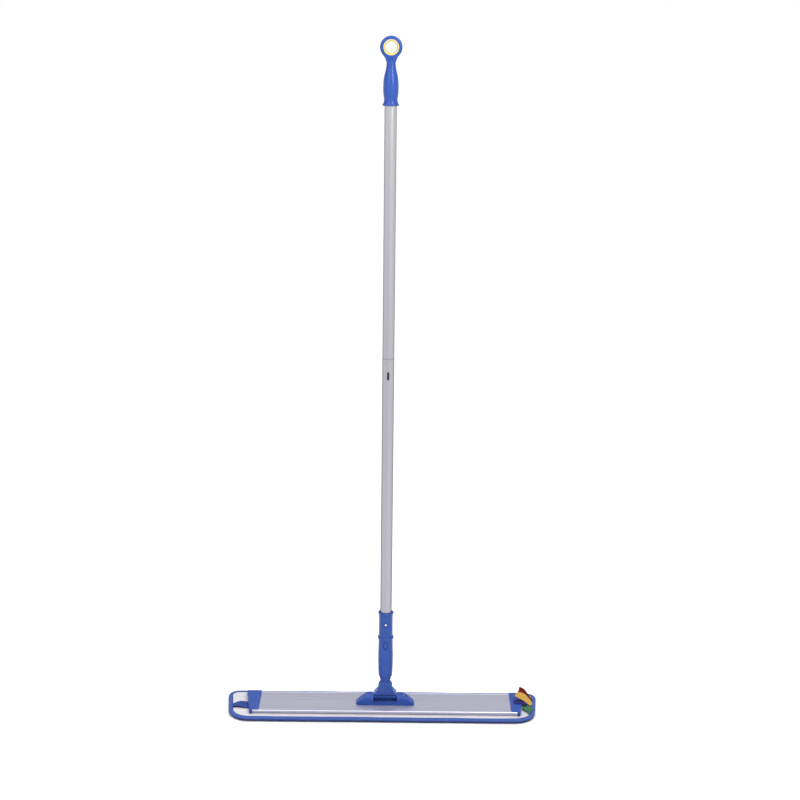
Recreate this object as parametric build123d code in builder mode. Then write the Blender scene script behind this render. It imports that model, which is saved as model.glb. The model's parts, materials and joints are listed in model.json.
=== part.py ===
from build123d import *
import math
import os

# Flat mop, in millimetres.
# The origin is on the floor, under the axis of the upright pole.
# +X runs along the mop head, +Y to its back edge, +Z up the pole.

os.makedirs("parts", exist_ok=True)

# ---------------------------------------------------------------- pad
PAD_SHIFT = -6.5            # the pad is stuck on a little off centre
PAD_BACK_HALF = 334.7       # half the pad's length along its back edge
PAD_FRONT_HALF = 321.7      # half its length along its front edge
PAD_BACK_Y = 66.0
PAD_FRONT_Y = -70.0
PAD_BACK_R = 22.0
PAD_FRONT_R = 46.0
PILE_TOP = 3.4
CORE_TOP = 7.2
BACKING_TOP = 8.8
BINDING_BOTTOM = 2.0
BINDING_TOP = 10.2
BINDING_WIDTH = 8.5         # how far the tape folds over the pad's faces
BINDING_WALL = 2.2          # tape thickness round the rim
PILE_GAP = 0.5              # between the pile and the tape's folded edge

STRAP_Y = -10.0             # middle of the pull strap
STRAP_WIDTH = 22.0
STRAP_ARCH = 13.5           # top of the strap's arch
STRAP_THICK = 1.2
STRAP_ROOT_X = -321.8       # at the tape's folded edge
STRAP_TIP_X = -286.5        # under the left end cap

TAG_THICK = 1.2

# ---------------------------------------------------------------- frame plate
PLATE_HALF = 283.0          # half the aluminium extrusion's length
PLATE_HALF_Y = 47.8
PLATE_BOTTOM = 10.0
PLATE_TOP = 15.5            # flat top between the two lips
LIP_TOP = 17.0
SKIN = 1.4                  # wall of the extrusion
CHAMBER_Y = (13.0, 45.8)    # hollow chamber each side of the open middle channel
FRONT_LIP = (1.0, 3.0, 4.0)  # where the front lip's top starts and ends, and its foot
FRONT_LIP_DROP = 1.0        # how far the lip rounds down to its front face
UNDERCUT = (2.0, 3.2)       # depth and height of the step under the front lip
BACK_LIP = (0.6, 1.6, 2.0)  # the same three places on the lower back lip
BACK_LIP_TOP = 15.9
SCREW_PLAY = 0.1            # radial play of screws and rivet in their holes
GROOVE = (1.0, 0.35)        # width and depth of the fine grooves in the top
GROOVE_Y = (-33.0, -24.0, 24.0, 36.0)
HOOK_WIDTH = 26.0
HOOK_HALF = 264.0
HOOK_RECESS = 0.4

# ---------------------------------------------------------------- end caps
CAP_INNER_X = 268.0
CAP_BACK_X = 300.0          # the outer edge slants in from back to front
CAP_FRONT_X = 287.0
CAP_BACK_Y = 49.4
CAP_FRONT_Y = -50.0
CAP_TOP = 18.2
CAP_SKIN_FRONT_Y = -46.6    # the cap's top stops short of the front lip's face
CAP_CORNER_R = 3.0
CAP_EDGE_R = 0.9
CAP_INNER_CORNER_R = 4.0
CAP_CORNER_X = 281.0
CAP_WALL = 2.2
CAP_GAP = 0.1
CAP_SEAT = 0.05             # between the cap and the plate's faces
POCKET_TOP = 15.6
POCKET_INSET = (2.6, 3.0)   # pocket wall at the slanted side and at the back
POCKET_FRONT_Y = -22.0
TONGUE_X = 270.0
SCREW_X = 276.0             # screw that holds the cap's tongue in the extrusion
CAP_SCREW_R = 1.4
CAP_HEAD_R = 3.0
CAP_HEAD_T = 1.0

# ---------------------------------------------------------------- hinge bracket
BRACKET_TIP = 62.0
BRACKET_HALF_Y = 16.4
BRACKET_FLAT_X = 33.5
BRACKET_TOP = 34.5
BRACKET_BULGE = (48.0, 28.8)  # X and Z that the wing's slope passes through
BRACKET_TIP_BACK_Y = 2.0    # the wings' back edges run forward to this
BRACKET_TIP_R = 7.0
BRACKET_EDGE_R = 6.0
BRACKET_TIP_TOP = 20.0
BRACKET_FLOOR = 17.0
RAIL_TOP = 22.5
RAIL_THICK = 3.5
OPENING_X = 25.2
BRACKET_SCREW_X = (32.0, 50.0)
BRACKET_SCREW_R = 2.0
BRACKET_SCREW_TOP = 23.0
BRACKET_HEAD_R = 3.6
BRACKET_HEAD_T = 2.4

# ---------------------------------------------------------------- swivel joint
PITCH_Z = 30.5              # fore-and-aft axis, along X
PITCH_PIN_R = 2.0
ROLL_Z = 52.0               # side-to-side axis, along Y
ROLL_PIN_R = 2.5
PIN_RUN = 0.05              # radial running clearance on both pins
PITCH_PIN_HALF = 41.0
PIN_BLIND_Y = -9.0          # front end of the side pin, inside the front cheek
PIN_HEAD_R = 4.4
PIN_HEAD_T = 1.3
BOSS_R = 5.5
BOSS_T = 0.8
BARREL_R = 7.0
BARREL_HALF = 24.9
DOME_HALF_X = 24.1
DOME_HALF_Y = 10.0
DOME_BOTTOM = 37.2
DOME_TOP = 48.0
DOME_SKIRT_Z = 39.0         # the dome's sides slope in above this
DOME_TOP_X = 15.8
DOME_R = 1.6
TONGUE_R = 12.0
TONGUE_HALF_Y = 5.7
CHEEK_R = 15.0
CHEEK_IN = 6.0
CHEEK_OUT = 10.0
SWING_GAP = 0.35            # between the cheeks and the saddle they swing in
CROTCH_Z = 66.0

# ---------------------------------------------------------------- neck socket
NECK_Z = 67.0
NECK_R = 10.4
STEP_Z = 79.5               # small step where the neck meets the body
STEP_R = 13.4
STEP_DROP = 2.5
SHOULDER_R = 14.5
SOCKET_TOP = 163.0
SOCKET_TOP_R = 14.95
NECK_FLARE = (11.4, 71.0)   # radius and height of a point on the neck's curve
BODY_CURVE = [(15.3, 90.0), (15.65, 102.0), (15.9, 121.0), (15.5, 142.0)]  # radius, height
NECK_CORNER_R = 3.0
SOCKET_BORE_R = 12.5
SOCKET_FLOOR = 97.0
SPIGOT_GAP = 0.05

# ---------------------------------------------------------------- pole adapter
FLANGE_TOP = 168.5
FLANGE_R = 16.65
SLEEVE_R = 14.6
COLLAR_BOTTOM = 218.5
COLLAR_TOP = 223.5
COLLAR_R = 16.2
TUBE_STOP = 169.0           # the pole stands on this ledge
SPIGOT_INNER_R = 9.5
ADAPTER_SCREW_Z = 197.8
ADAPTER_SCREW_R = 1.5
SCREW_DISH_R = 4.4
SCREW_DISH_Y = -12.9
ADAPTER_HEAD_R = 2.5
ADAPTER_HEAD_T = 1.3
ADAPTER_SCREW_TIP_Y = -7.0  # its tip, inside the tube
DRIVE_SLOT = (0.6, 3.0)     # width and length of the cross in its head

# ---------------------------------------------------------------- release button
BUTTON_Z = 150.8
BUTTON = (8.2, 13.2)        # width and height
BUTTON_GAP = 0.6
DISH = (11.5, 16.5)         # oval dish round the button
DISH_FLOOR_Y = -14.1
BUTTON_FACE_Y = -15.0
BUTTON_BACK_Y = -6.8
BUTTON_FLANGE = (11.0, 16.0)
BUTTON_FLANGE_T = 1.5

# ---------------------------------------------------------------- pole
TUBE_R = 12.0
TUBE_WALL = 1.2
TUBE_GAP = 0.05
SEAM_Z = 772.5
TUBE_TOP = 1330.0
COUPLER_R = 10.75
COUPLER_WALL = 1.6
COUPLER = (700.0, 842.0)
SNAP_Z = 737.5
SNAP = (4.4, 17.0)
SNAP_GAP = 0.15
SNAP_PROUD = 0.9
SNAP_FLANGE = (8.0, 22.0)
SNAP_FLANGE_Y = -7.4
SNAP_FLANGE_T = 1.2
LEAF_T = 0.6
LEAF_WIDTH = 5.0
RIVET_Z = 806.0
RIVET_R = 1.6

# ---------------------------------------------------------------- hanging grip
GRIP_BOTTOM = 1277.6
GRIP_RIM_R = 16.5
GRIP_RIM = (0.6, 1.2)       # chamfer of the rim: in from its edge, up from its foot
GRIP_CURVE = [              # radius and height of the hand grip, from its rim to its neck
    (14.0, 1284.0),
    (13.3, 1289.5),
    (14.4, 1298.0),
    (15.2, 1313.0),
    (13.8, 1331.5),
    (10.9, 1344.0),
]
GRIP_NECK_R = 9.0
GRIP_NECK_Z = 1357.0
GRIP_NECK_END = (9.2, 8.0)  # radius at the neck's end, and how far it runs up into the ring
RING_Z = 1389.2
RING_R = 21.8
RING_HALF_Y = 6.5
FLARE_X = 17.4              # where the ring's root meets the ring
FLARE_Z = 1376.0
FLARE_HALF_Y = 5.6
FLARE_BEND = (11.4, 1367.5)  # X and Z that the flare's sides pass through
RING_EDGE_R = 4.0
EYE_R = 14.2
EYE_HOLE_R = 11.0
EYE_FLANGE_R = 15.3
EYE_HALF_Y = 7.3
EYE_THROAT_HALF = 3.0
EYE_DISH_R = 13.0
GRIP_BORE_R = TUBE_R + TUBE_GAP


def save(piece, name):
    """Label a finished piece and write it as its own file."""
    piece.part.label = name
    export_step(piece.part, f"parts/{name}.step")


def pad_outline(inset, height):
    """The pad's rounded trapezoid on a level plane, moved in by inset."""
    with BuildSketch(Plane.XY.offset(height)) as outline:
        with BuildLine():
            Polyline(
                (PAD_SHIFT - PAD_BACK_HALF + inset, PAD_BACK_Y - inset),
                (PAD_SHIFT + PAD_BACK_HALF - inset, PAD_BACK_Y - inset),
                (PAD_SHIFT + PAD_FRONT_HALF - inset, PAD_FRONT_Y + inset),
                (PAD_SHIFT - PAD_FRONT_HALF + inset, PAD_FRONT_Y + inset),
                close=True,
            )
        make_face()
        corners = outline.vertices().sort_by(Axis.Y)
        fillet(corners[:2], PAD_FRONT_R - inset)
        corners = outline.vertices().group_by(Axis.Y)[-1]
        fillet(corners, PAD_BACK_R - inset)
    return outline.sketch


def obround(plane, width, height):
    """An upright slot shape on the given plane."""
    with BuildSketch(plane) as slot:
        SlotOverall(height, width, rotation=90)
    return slot.sketch


def facing_front(y, z):
    """A plane that faces the front, with its origin at depth y and height z."""
    return Plane(origin=(0, y, z), x_dir=(1, 0, 0), z_dir=(0, -1, 0))


# ================================================================ mop pad

with BuildPart() as pad_pile:
    extrude(pad_outline(BINDING_WIDTH + PILE_GAP, 0), amount=PILE_TOP)
save(pad_pile, "pad_pile")

with BuildPart() as pad_core:
    extrude(pad_outline(BINDING_WALL, PILE_TOP), amount=CORE_TOP - PILE_TOP)
save(pad_core, "pad_core")

with BuildPart() as pad_backing:
    extrude(pad_outline(BINDING_WALL, CORE_TOP), amount=BACKING_TOP - CORE_TOP)
save(pad_backing, "pad_backing")

# Tape folded round the pad's rim, like a channel open to the inside.
with BuildPart() as pad_binding:
    extrude(pad_outline(0, BINDING_BOTTOM), amount=BINDING_TOP - BINDING_BOTTOM)
    fillet(pad_binding.edges().group_by(Axis.Z)[-1], 2.0)
    extrude(
        pad_outline(BINDING_WIDTH, BINDING_BOTTOM),
        amount=BINDING_TOP - BINDING_BOTTOM,
        mode=Mode.SUBTRACT,
    )
    extrude(pad_outline(BINDING_WALL, PILE_TOP), amount=BACKING_TOP - PILE_TOP, mode=Mode.SUBTRACT)
save(pad_binding, "pad_binding")


def ribbon(points, width, middle_y):
    """A flat ribbon: its side view, closed through the given points, drawn across Y."""
    with BuildPart() as strip:
        with BuildSketch(Plane.XZ.offset(-middle_y)):
            with BuildLine():
                Polyline(*points, close=True)
            make_face()
        extrude(amount=width / 2, both=True)
    return strip


# Pull strap: sewn to the left rim, arched, and tucked under the left end cap.
strap_top = BACKING_TOP + STRAP_THICK
pull_strap = ribbon(
    [
        (STRAP_ROOT_X, BACKING_TOP),
        (STRAP_TIP_X, BACKING_TOP),
        (STRAP_TIP_X, strap_top),
        (STRAP_TIP_X - 16.0, strap_top),
        (STRAP_TIP_X - 23.0, STRAP_ARCH - 1.0),
        (STRAP_ROOT_X + 8.0, STRAP_ARCH),
        (STRAP_ROOT_X, strap_top),
    ],
    STRAP_WIDTH,
    STRAP_Y,
)
save(pull_strap, "pull_strap")

# Colour tags at the right end. Each row: name, middle in Y, width, and the
# middle line of its side view, from where it is sewn on to its free end.
TAGS = [
    ("tag_blue", 5.5, 19.0, [(314.0, 11.2), (303.0, 18.9), (276.0, 18.9)]),
    ("tag_yellow", 9.0, 23.0, [(315.0, 13.2), (306.0, 24.0), (281.0, 36.0)]),
    ("tag_red", 29.0, 13.0, [(317.0, 11.2), (311.0, 30.0), (291.0, 43.0)]),
    ("tag_green", -22.0, 24.0, [(307.0, 9.6), (300.0, 10.2), (293.0, 9.8)]),
]
for tag_name, tag_y, tag_width, middle_line in TAGS:
    half = TAG_THICK / 2
    lower_side = [(x, z - half) for x, z in middle_line]
    upper_side = [(x, z + half) for x, z in reversed(middle_line)]
    save(ribbon(lower_side + upper_side, tag_width, tag_y), tag_name)

# ================================================================ frame plate


def plate_profile():
    """Outer section of the extrusion: a raised rounded front lip and a small back lip."""
    front, back = -PLATE_HALF_Y, PLATE_HALF_Y
    undercut_y, undercut_z = front + UNDERCUT[0], PLATE_BOTTOM + UNDERCUT[1]
    with BuildSketch(Plane.YZ) as section:
        with BuildLine():
            Polyline(
                (back, PLATE_BOTTOM),
                (undercut_y, PLATE_BOTTOM),
                (undercut_y, undercut_z),
                (front, undercut_z),
                (front, LIP_TOP - FRONT_LIP_DROP),
                (front + FRONT_LIP[0], LIP_TOP),
                (front + FRONT_LIP[1], LIP_TOP),
                (front + FRONT_LIP[2], PLATE_TOP),
                (back - BACK_LIP[2], PLATE_TOP),
                (back - BACK_LIP[1], BACK_LIP_TOP),
                (back - BACK_LIP[0], BACK_LIP_TOP),
                (back, PLATE_TOP),
                close=True,
            )
        make_face()
    return section.sketch


with BuildPart() as frame_plate:
    extrude(plate_profile(), amount=PLATE_HALF, both=True)
    chamber_width = CHAMBER_Y[1] - CHAMBER_Y[0]
    chamber_z = (PLATE_BOTTOM + SKIN, PLATE_TOP - SKIN)
    with BuildSketch(Plane.YZ):
        for side in (-1, 1):
            with Locations((side * sum(CHAMBER_Y) / 2, sum(chamber_z) / 2)):
                Rectangle(chamber_width - 2 * SKIN, chamber_z[1] - chamber_z[0])
            with Locations((side * sum(CHAMBER_Y) / 2, PLATE_BOTTOM + HOOK_RECESS / 2)):
                Rectangle(HOOK_WIDTH, HOOK_RECESS)
        with Locations((0, (PLATE_BOTTOM + chamber_z[1]) / 2)):
            Rectangle(2 * CHAMBER_Y[0], chamber_z[1] - PLATE_BOTTOM)
        for groove_y in GROOVE_Y:
            with Locations((groove_y, PLATE_TOP - GROOVE[1] / 2)):
                Rectangle(GROOVE[0], GROOVE[1])
    extrude(amount=PLATE_HALF, both=True, mode=Mode.SUBTRACT)
    for screw_x in BRACKET_SCREW_X:
        with Locations((screw_x, 0, PLATE_TOP), (-screw_x, 0, PLATE_TOP)):
            Hole(radius=BRACKET_SCREW_R + SCREW_PLAY, depth=3 * SKIN)
    cap_screw_y = sum(CHAMBER_Y) / 2
    with Locations(
        *[(sx * SCREW_X, sy * cap_screw_y, PLATE_BOTTOM) for sx in (-1, 1) for sy in (-1, 1)]
    ):
        Cylinder(CAP_SCREW_R + SCREW_PLAY, 4 * SKIN, mode=Mode.SUBTRACT)
save(frame_plate, "frame_plate")

# Hook tape: two strips glued under the plate.
for strip_name, side in (("hook_strip_front", -1), ("hook_strip_rear", 1)):
    with BuildPart() as hook_strip:
        with BuildSketch(Plane.XY.offset(BACKING_TOP)):
            with Locations((0, side * sum(CHAMBER_Y) / 2)):
                Rectangle(2 * HOOK_HALF, HOOK_WIDTH)
        extrude(amount=PLATE_BOTTOM + HOOK_RECESS - BACKING_TOP)
    save(hook_strip, strip_name)

# ================================================================ end caps


def block(low, high, mode=Mode.ADD):
    """A box between two opposite corners, in the part being built."""
    size = [b - a for a, b in zip(low, high)]
    with Locations(low):
        Box(*size, align=(Align.MIN, Align.MIN, Align.MIN), mode=mode)


# A slanted cover with a skin over the plate and two tongues that plug into its chambers.
with BuildPart() as end_cap_right:
    with BuildSketch(Plane.XY.offset(PLATE_BOTTOM)):
        with BuildLine():
            Polyline(
                (CAP_INNER_X, CAP_BACK_Y),
                (CAP_BACK_X, CAP_BACK_Y),
                (CAP_FRONT_X, CAP_FRONT_Y),
                (CAP_INNER_X, CAP_FRONT_Y),
                close=True,
            )
        make_face()
    extrude(amount=CAP_TOP - PLATE_BOTTOM)
    upright_edges = end_cap_right.edges().filter_by(Axis.Z).sort_by(Axis.X)
    fillet(upright_edges[-2:], CAP_CORNER_R)
    fillet(end_cap_right.edges().group_by(Axis.Z)[-1], CAP_EDGE_R)
    # room for the plate and its two lips
    edge_y = PLATE_HALF_Y + CAP_SEAT
    inner_x, outer_x = CAP_INNER_X - 1, PLATE_HALF + CAP_GAP
    back_lip_y = PLATE_HALF_Y - BACK_LIP[2] - CAP_GAP
    front_lip_y = FRONT_LIP[2] + CAP_GAP - PLATE_HALF_Y
    block((inner_x, -edge_y, PLATE_BOTTOM - 1), (outer_x, edge_y, PLATE_TOP + CAP_SEAT), Mode.SUBTRACT)
    block((inner_x, back_lip_y, PLATE_TOP), (outer_x, edge_y, BACK_LIP_TOP + CAP_SEAT), Mode.SUBTRACT)
    block((inner_x, -edge_y, PLATE_TOP), (outer_x, front_lip_y, LIP_TOP + CAP_SEAT), Mode.SUBTRACT)
    # the front lip's face stays in the open, except at the cap's outer corner,
    # and the cap's inner front corner is round
    corner_r = CAP_INNER_CORNER_R
    corner_mid = corner_r * (1 - math.sqrt(0.5))
    with BuildSketch(Plane.XY.offset(PLATE_BOTTOM - 1)):
        with BuildLine():
            arc_start = (CAP_INNER_X + corner_r, CAP_SKIN_FRONT_Y)
            arc_end = (CAP_INNER_X, CAP_SKIN_FRONT_Y + corner_r)
            ThreePointArc(
                arc_start,
                (CAP_INNER_X + corner_mid, CAP_SKIN_FRONT_Y + corner_mid),
                arc_end,
            )
            Polyline(
                arc_end,
                (inner_x, CAP_SKIN_FRONT_Y + corner_r),
                (inner_x, CAP_FRONT_Y - 1),
                (CAP_CORNER_X, CAP_FRONT_Y - 1),
                (CAP_CORNER_X, CAP_SKIN_FRONT_Y),
                arc_start,
            )
        make_face()
    extrude(amount=CAP_TOP - PLATE_BOTTOM + 2, mode=Mode.SUBTRACT)
    # moulded pocket under the outer end
    with BuildSketch(Plane.XY.offset(PLATE_BOTTOM)):
        with BuildLine():
            Polyline(
                (outer_x + CAP_WALL, CAP_BACK_Y - POCKET_INSET[1]),
                (CAP_BACK_X - POCKET_INSET[0], CAP_BACK_Y - POCKET_INSET[1]),
                (CAP_FRONT_X + 2.0, POCKET_FRONT_Y),
                (outer_x + CAP_WALL, POCKET_FRONT_Y),
                close=True,
            )
        make_face()
    extrude(amount=POCKET_TOP - PLATE_BOTTOM, mode=Mode.SUBTRACT)
    # tongues inside the plate's chambers, with a pilot hole for the screw
    for side in (-1, 1):
        tongue_y = side * sum(CHAMBER_Y) / 2
        tongue_half = (CHAMBER_Y[1] - CHAMBER_Y[0]) / 2 - SKIN - 0.2
        block(
            (TONGUE_X, tongue_y - tongue_half, PLATE_BOTTOM + SKIN + CAP_GAP),
            (outer_x + 0.5, tongue_y + tongue_half, PLATE_TOP - SKIN - CAP_GAP),
        )
        with Locations((SCREW_X, tongue_y, PLATE_BOTTOM)):
            Cylinder(CAP_SCREW_R + 0.02, 12.0, mode=Mode.SUBTRACT)
save(end_cap_right, "end_cap_right")

with BuildPart() as end_cap_left:
    mirror(end_cap_right.part, about=Plane.YZ)
save(end_cap_left, "end_cap_left")

# Pan-head screws up through the plate's underside into the tongues.
with BuildPart() as end_cap_screws:
    for side_x in (-1, 1):
        for side_y in (-1, 1):
            spot = (side_x * SCREW_X, side_y * sum(CHAMBER_Y) / 2)
            with BuildSketch(Plane.XY.offset(PLATE_BOTTOM - CAP_HEAD_T)):
                with Locations(spot):
                    Circle(CAP_HEAD_R)
            extrude(amount=CAP_HEAD_T)
            with BuildSketch(Plane.XY.offset(PLATE_BOTTOM)):
                with Locations(spot):
                    Circle(CAP_SCREW_R)
            extrude(amount=PLATE_TOP - SKIN - 0.2 - PLATE_BOTTOM)
save(end_cap_screws, "end_cap_screws")

# ================================================================ hinge bracket

with BuildPart() as hinge_bracket:
    # boat shape seen from the front: flat middle, wings sloping to blunt tips
    with BuildSketch(Plane.XZ):
        with BuildLine():
            right_top = (BRACKET_FLAT_X, BRACKET_TOP)
            right_tip = (BRACKET_TIP, BRACKET_TIP_TOP)
            left_top = (-BRACKET_FLAT_X, BRACKET_TOP)
            left_tip = (-BRACKET_TIP, BRACKET_TIP_TOP)
            Line(left_top, right_top)
            ThreePointArc(right_top, BRACKET_BULGE, right_tip)
            Polyline(right_tip, (BRACKET_TIP, PLATE_TOP), (-BRACKET_TIP, PLATE_TOP), left_tip)
            ThreePointArc(left_tip, (-BRACKET_BULGE[0], BRACKET_BULGE[1]), left_top)
        make_face()
    extrude(amount=BRACKET_HALF_Y, both=True)
    # seen from above, the wings' back edges run forward to rounded tips
    with BuildSketch(Plane.XY.offset(PLATE_TOP)) as bracket_plan:
        with BuildLine():
            Polyline(
                (-BRACKET_FLAT_X, BRACKET_HALF_Y),
                (BRACKET_FLAT_X, BRACKET_HALF_Y),
                (BRACKET_TIP, BRACKET_TIP_BACK_Y),
                (BRACKET_TIP, -BRACKET_HALF_Y),
                (-BRACKET_TIP, -BRACKET_HALF_Y),
                (-BRACKET_TIP, BRACKET_TIP_BACK_Y),
                close=True,
            )
        make_face()
        tips = bracket_plan.vertices().group_by(Axis.X)
        fillet(tips[0] + tips[-1], BRACKET_TIP_R)
    extrude(amount=BRACKET_TOP - PLATE_TOP + 1, mode=Mode.INTERSECT)
    long_edges = hinge_bracket.edges().filter_by(Axis.X).group_by(Axis.Z)[-1]
    fillet(long_edges, BRACKET_EDGE_R)
    # opening for the knuckle, between a front and a back rail
    rail_inner = BRACKET_HALF_Y - RAIL_THICK
    block(
        (-OPENING_X, -rail_inner, BRACKET_FLOOR),
        (OPENING_X, rail_inner, BRACKET_TOP + 1),
        Mode.SUBTRACT,
    )
    block(
        (-OPENING_X, -BRACKET_HALF_Y - 1, RAIL_TOP),
        (OPENING_X, BRACKET_HALF_Y + 1, BRACKET_TOP + 1),
        Mode.SUBTRACT,
    )
    # pin bore, open on both wing slopes
    with BuildSketch(Plane.YZ):
        with Locations((0, PITCH_Z)):
            Circle(PITCH_PIN_R + 0.02)
    extrude(amount=BRACKET_TIP, both=True, mode=Mode.SUBTRACT)
    for screw_x in BRACKET_SCREW_X:
        for side in (-1, 1):
            with Locations((side * screw_x, 0, PLATE_TOP)):
                Cylinder(
                    BRACKET_SCREW_R + 0.02,
                    BRACKET_SCREW_TOP - PLATE_TOP + 0.5,
                    align=(Align.CENTER, Align.CENTER, Align.MIN),
                    mode=Mode.SUBTRACT,
                )
save(hinge_bracket, "hinge_bracket")

# Screws up through the plate's open middle channel into the bracket.
with BuildPart() as bracket_screws:
    for screw_x in BRACKET_SCREW_X:
        for side in (-1, 1):
            spot = (side * screw_x, 0)
            web_bottom = PLATE_TOP - SKIN
            with BuildSketch(Plane.XY.offset(web_bottom - BRACKET_HEAD_T)):
                with Locations(spot):
                    Circle(BRACKET_HEAD_R)
            extrude(amount=BRACKET_HEAD_T)
            with BuildSketch(Plane.XY.offset(web_bottom)):
                with Locations(spot):
                    Circle(BRACKET_SCREW_R)
            extrude(amount=BRACKET_SCREW_TOP - web_bottom)
save(bracket_screws, "bracket_screws")

with BuildPart() as pitch_pin:
    with BuildSketch(Plane.YZ):
        with Locations((0, PITCH_Z)):
            Circle(PITCH_PIN_R)
    extrude(amount=PITCH_PIN_HALF, both=True)
save(pitch_pin, "pitch_pin")

# ================================================================ knuckle

with BuildPart() as knuckle:
    # barrel on the pitch pin
    with BuildSketch(Plane.YZ):
        with Locations((0, PITCH_Z)):
            Circle(BARREL_R)
    extrude(amount=BARREL_HALF, both=True)
    # web between the barrel and the dome
    block(
        (-DOME_HALF_X + 1.5, -TONGUE_HALF_Y, PITCH_Z),
        (DOME_HALF_X - 1.5, TONGUE_HALF_Y, DOME_BOTTOM + 1),
    )
    # dome with sloping shoulders
    with BuildSketch(Plane.XZ) as dome_face:
        with BuildLine():
            Polyline(
                (-DOME_HALF_X, DOME_BOTTOM),
                (DOME_HALF_X, DOME_BOTTOM),
                (DOME_HALF_X, DOME_SKIRT_Z),
                (DOME_TOP_X, DOME_TOP),
                (-DOME_TOP_X, DOME_TOP),
                (-DOME_HALF_X, DOME_SKIRT_Z),
                close=True,
            )
        make_face()
        fillet(dome_face.vertices().filter_by_position(Axis.Y, DOME_SKIRT_Z - 1, DOME_SKIRT_Z + 1), DOME_R)
    extrude(amount=DOME_HALF_Y, both=True)
    # saddle that the two cheeks swing in
    with BuildSketch(facing_front(0, ROLL_Z)):
        Circle(CHEEK_R + SWING_GAP)
    extrude(amount=DOME_HALF_Y + 1, both=True, mode=Mode.SUBTRACT)
    # tongue between the cheeks
    with BuildSketch(facing_front(0, ROLL_Z)):
        Circle(TONGUE_R)
        with Locations((0, -(ROLL_Z - DOME_BOTTOM) / 2)):
            Rectangle(2 * TONGUE_R, ROLL_Z - DOME_BOTTOM)
    extrude(amount=TONGUE_HALF_Y, both=True)
    # bores for the two pins
    with BuildSketch(Plane.YZ):
        with Locations((0, PITCH_Z)):
            Circle(PITCH_PIN_R + PIN_RUN)
    extrude(amount=BARREL_HALF + 1, both=True, mode=Mode.SUBTRACT)
    with BuildSketch(facing_front(0, ROLL_Z)):
        Circle(ROLL_PIN_R + PIN_RUN)
    extrude(amount=DOME_HALF_Y + 1, both=True, mode=Mode.SUBTRACT)
save(knuckle, "knuckle")

# ================================================================ neck socket

with BuildPart() as neck_socket:
    # turned body: neck, a small step at the shoulder, and a slightly full barrel
    with BuildSketch(Plane.XZ):
        with BuildLine():
            Line((0, NECK_Z - 1), (NECK_R, NECK_Z - 1))
            Spline((NECK_R, NECK_Z - 1), NECK_FLARE, (STEP_R, STEP_Z - STEP_DROP))
            Line((STEP_R, STEP_Z - STEP_DROP), (SHOULDER_R, STEP_Z))
            Spline((SHOULDER_R, STEP_Z), *BODY_CURVE, (SOCKET_TOP_R, SOCKET_TOP))
            Polyline((SOCKET_TOP_R, SOCKET_TOP), (0, SOCKET_TOP), (0, NECK_Z - 1))
        make_face()
    revolve(axis=Axis.Z)
    # fork: two round cheeks and the bridge over the tongue
    with BuildSketch(facing_front(0, ROLL_Z)):
        Circle(CHEEK_R)
        with Locations((0, (NECK_Z - ROLL_Z) / 2 + 2)):
            Rectangle(2 * NECK_R, NECK_Z - ROLL_Z - 4)
    extrude(amount=CHEEK_OUT, both=True)
    neck_corners = neck_socket.edges().filter_by(Axis.Z).filter_by_position(Axis.Z, 60, NECK_Z)
    fillet(neck_corners, NECK_CORNER_R)
    block((-20, -CHEEK_IN, ROLL_Z - 20), (20, CHEEK_IN, CROTCH_Z), Mode.SUBTRACT)
    # round boss on the front cheek, over the pin's blind end
    with BuildSketch(facing_front(-CHEEK_OUT, ROLL_Z)):
        Circle(BOSS_R)
    extrude(amount=BOSS_T)
    with BuildSketch(facing_front(PIN_BLIND_Y, ROLL_Z)):
        Circle(ROLL_PIN_R + 0.02)
    extrude(amount=-(CHEEK_OUT - PIN_BLIND_Y + 1), mode=Mode.SUBTRACT)
    # bore for the adapter's spigot
    with Locations((0, 0, SOCKET_FLOOR)):
        Cylinder(
            SOCKET_BORE_R,
            SOCKET_TOP - SOCKET_FLOOR + 1,
            align=(Align.CENTER, Align.CENTER, Align.MIN),
            mode=Mode.SUBTRACT,
        )
    # oval dish and window for the release button
    extrude(obround(facing_front(DISH_FLOOR_Y, BUTTON_Z), *DISH), amount=5, mode=Mode.SUBTRACT)
    extrude(
        obround(facing_front(0, BUTTON_Z), BUTTON[0] + 2 * BUTTON_GAP, BUTTON[1] + 2 * BUTTON_GAP),
        amount=20,
        mode=Mode.SUBTRACT,
    )
save(neck_socket, "neck_socket")

# Steel pin of the side swivel, pushed in from the back.
with BuildPart() as side_pin:
    with BuildSketch(facing_front(PIN_BLIND_Y, ROLL_Z)):
        Circle(ROLL_PIN_R)
    extrude(amount=-(CHEEK_OUT - PIN_BLIND_Y))
    with BuildSketch(facing_front(CHEEK_OUT, ROLL_Z)):
        Circle(PIN_HEAD_R)
    extrude(amount=-PIN_HEAD_T)
save(side_pin, "side_pin")

# ================================================================ pole adapter

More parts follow.
